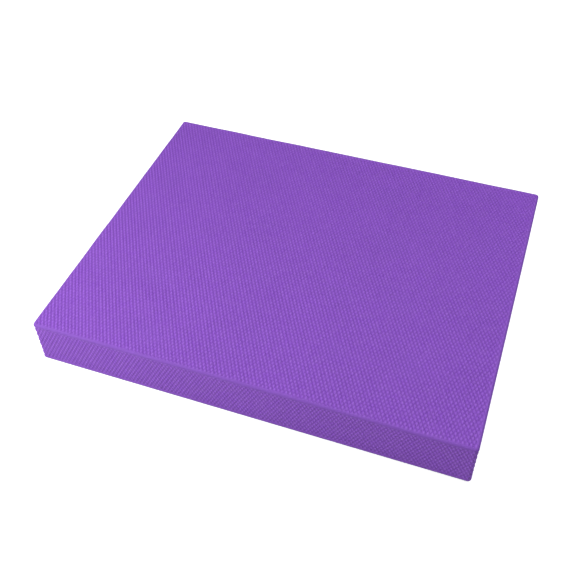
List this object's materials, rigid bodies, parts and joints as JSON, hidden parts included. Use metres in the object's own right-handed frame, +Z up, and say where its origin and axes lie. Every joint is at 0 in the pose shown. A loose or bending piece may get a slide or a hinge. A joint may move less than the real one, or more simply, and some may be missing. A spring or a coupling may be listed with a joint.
{
  "type": "balance pad",
  "caption": "Thick rectangular foam balance pad with an embossed non-slip skin all round, for standing and physiotherapy exercises.",
  "frame": {"origin": "middle of the underside, on the floor the pad lies on", "axes": "+X along the length, +Y along the width, +Z up through the thickness"},
  "size_m": [0.5, 0.406, 0.06],
  "materials": {
    "skin": "purple closed-cell elastomer foam, pressed to a matt skin with a fine diamond grain",
    "foam": "purple closed-cell elastomer foam, dull, with fine open cells where it was cut"
  },
  "bodies": {
    "root": {"top_skin": "skin", "side_skin": "skin", "bottom_skin": "skin", "core_layer_top": "foam", "core_layer_middle": "foam", "core_layer_bottom": "foam"}
  },
  "joints": []
}
